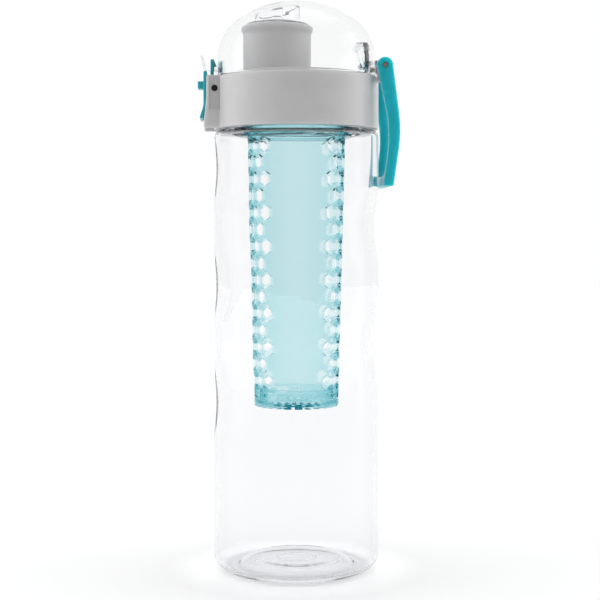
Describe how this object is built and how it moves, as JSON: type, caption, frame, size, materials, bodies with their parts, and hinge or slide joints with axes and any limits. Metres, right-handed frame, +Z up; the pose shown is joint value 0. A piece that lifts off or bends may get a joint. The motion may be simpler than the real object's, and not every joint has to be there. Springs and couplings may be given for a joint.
{
  "type": "fruit infuser bottle",
  "caption": "Clear drinking bottle with finger-grip dents, a hanging honeycomb fruit infuser, a grey screw collar with spout, a clear flip dome, teal latch and carry handle.",
  "frame": {"origin": "centre of the foot ring, on the surface that the bottle stands on", "axes": "+Z up along the bottle's axis; -X to the latch, +X to the hinge and carry handle, -Y to the front"},
  "size_m": [0.0867, 0.072, 0.2482],
  "materials": {
    "clear_shell": "clear, polished, water white",
    "clear_dome": "clear, polished, water white",
    "teal_tint": "translucent teal, moulded",
    "teal_handle": "opaque teal, moulded, semi gloss",
    "teal_latch": "opaque teal, moulded, semi gloss",
    "grey_collar": "pale grey, fine satin",
    "grey_spout": "mid grey, fine satin",
    "soft_seal": "soft translucent silicone, satin",
    "dark_pin": "blackened steel, semi gloss",
    "steel_pin": "darkened steel, drawn",
    "spring_leaf": "spring steel, drawn"
  },
  "bodies": {
    "bottle": {"bottle_body": "clear_shell"},
    "lid": {"lid_collar": "grey_collar", "neck_gasket": "soft_seal", "spout": "grey_spout", "vent_plug": "soft_seal", "hinge_pin": "steel_pin", "latch_pin": "dark_pin", "latch_spring": "spring_leaf"},
    "infuser": {"infuser_basket": "teal_tint"},
    "infuser_foot": {"infuser_base": "teal_tint"},
    "dome": {"dome_lid": "clear_dome", "spout_seal": "soft_seal"},
    "handle": {"carry_handle": "teal_handle"},
    "latch": {"latch_lever": "teal_latch"},
    "lock": {"lock_slider": "teal_latch"}
  },
  "joints": [
    {"name": "lid_lift", "type": "slide", "parent": "bottle", "child": "lid", "axis": [0, 0, 1], "range_m": [0, 0.16]},
    {"name": "infuser_drop", "type": "slide", "parent": "lid", "child": "infuser", "axis": [0, 0, -1], "range_m": [0, 0.04]},
    {"name": "infuser_base_turn", "type": "hinge", "parent": "infuser", "child": "infuser_foot", "pos_m": [0, 0, 0.0742], "axis": [0, 0, 1], "range_deg": [0, 20]},
    {"name": "dome_hinge", "type": "hinge", "parent": "lid", "child": "dome", "pos_m": [0.0371, 0, 0.2185], "axis": [0, 1, 0], "range_deg": [0, 100]},
    {"name": "handle_swing", "type": "hinge", "parent": "lid", "child": "handle", "pos_m": [0.0371, 0, 0.2185], "axis": [0, -1, 0], "range_deg": [0, 90]},
    {"name": "latch_press", "type": "hinge", "parent": "lid", "child": "latch", "pos_m": [-0.0358, 0, 0.2089], "axis": [0, -1, 0], "range_deg": [0, 8], "stiffness_Nm_per_rad": 0.1, "deforming": ["latch_spring"]},
    {"name": "lock_slide", "type": "slide", "parent": "latch", "child": "lock", "axis": [0, 0, 1], "range_m": [0, 0.0026]}
  ]
}
